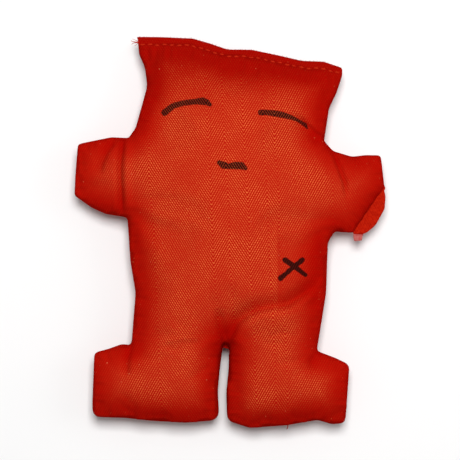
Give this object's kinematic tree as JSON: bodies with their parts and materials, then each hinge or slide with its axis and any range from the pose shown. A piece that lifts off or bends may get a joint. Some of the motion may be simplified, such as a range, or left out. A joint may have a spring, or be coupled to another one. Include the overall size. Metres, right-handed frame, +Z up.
{
  "type": "stuffed cloth dummy",
  "caption": "Small hand-sewn stuffed dummy of red herringbone cotton with a square head, stub arms, turned-out feet and marker-drawn closed eyes and mouth.",
  "frame": {"origin": "centre of the bounding box in plan, on the surface the doll lies on", "axes": "+Z up out of the face, +Y toward the head, +X toward the doll's own left arm; the doll lies on its back"},
  "size_m": [0.1492, 0.1876, 0.0402],
  "materials": {
    "twill": "soft matt red-orange cotton herringbone twill",
    "twill_edge": "brighter red raw allowance of the same cotton",
    "seam_thread": "matt red sewing thread",
    "stuffing": "loose off-white polyester fibre",
    "lining": "thin pale pink interlining, slightly translucent"
  },
  "bodies": {
    "torso": {"front_panel_torso": "twill", "back_panel_torso": "twill", "outline_seam_torso": "seam_thread", "stuffing_torso": "stuffing"},
    "head": {"front_panel_head": "twill", "back_panel_head": "twill", "outline_seam_head": "seam_thread", "stuffing_head": "stuffing", "closing_stitches": "seam_thread", "frayed_corner_threads": "seam_thread"},
    "pelvis": {"front_panel_pelvis": "twill", "back_panel_pelvis": "twill", "outline_seam_pelvis": "seam_thread", "stuffing_pelvis": "stuffing"},
    "right_arm": {"front_panel_right_arm": "twill", "back_panel_right_arm": "twill", "outline_seam_right_arm": "seam_thread", "stuffing_right_arm": "stuffing"},
    "left_arm": {"front_panel_left_arm": "twill", "back_panel_left_arm": "twill", "outline_seam_left_arm": "seam_thread", "stuffing_left_arm": "stuffing", "turned_out_allowance": "twill_edge", "lining_scrap": "lining"},
    "right_leg": {"front_panel_right_leg": "twill", "back_panel_right_leg": "twill", "outline_seam_right_leg": "seam_thread", "stuffing_right_leg": "stuffing"},
    "left_leg": {"front_panel_left_leg": "twill", "back_panel_left_leg": "twill", "outline_seam_left_leg": "seam_thread", "stuffing_left_leg": "stuffing", "foot_thread_end": "seam_thread"}
  },
  "joints": [
    {"name": "neck_fold", "type": "hinge", "parent": "torso", "child": "head", "pos_m": [0, 0.053, 0.016], "axis": [1, 0, 0], "range_deg": [-8, 35], "stiffness_Nm_per_rad": 0.05},
    {"name": "right_shoulder_fold", "type": "hinge", "parent": "torso", "child": "right_arm", "pos_m": [-0.054, 0.02, 0.016], "axis": [0, 1, 0], "range_deg": [-5, 60], "stiffness_Nm_per_rad": 0.02},
    {"name": "left_shoulder_fold", "type": "hinge", "parent": "torso", "child": "left_arm", "pos_m": [0.054, 0.02, 0.016], "axis": [0, -1, 0], "range_deg": [-5, 60], "stiffness_Nm_per_rad": 0.02},
    {"name": "waist_fold", "type": "hinge", "parent": "torso", "child": "pelvis", "pos_m": [0, -0.033, 0.016], "axis": [-1, 0, 0], "range_deg": [0, 40], "stiffness_Nm_per_rad": 0.06},
    {"name": "right_hip_fold", "type": "hinge", "parent": "pelvis", "child": "right_leg", "pos_m": [0, -0.0537, 0.016], "axis": [-1, 0, 0], "range_deg": [0, 35], "stiffness_Nm_per_rad": 0.04},
    {"name": "left_hip_fold", "type": "hinge", "parent": "pelvis", "child": "left_leg", "pos_m": [0, -0.0537, 0.016], "axis": [-1, 0, 0], "range_deg": [0, 35], "stiffness_Nm_per_rad": 0.04}
  ]
}
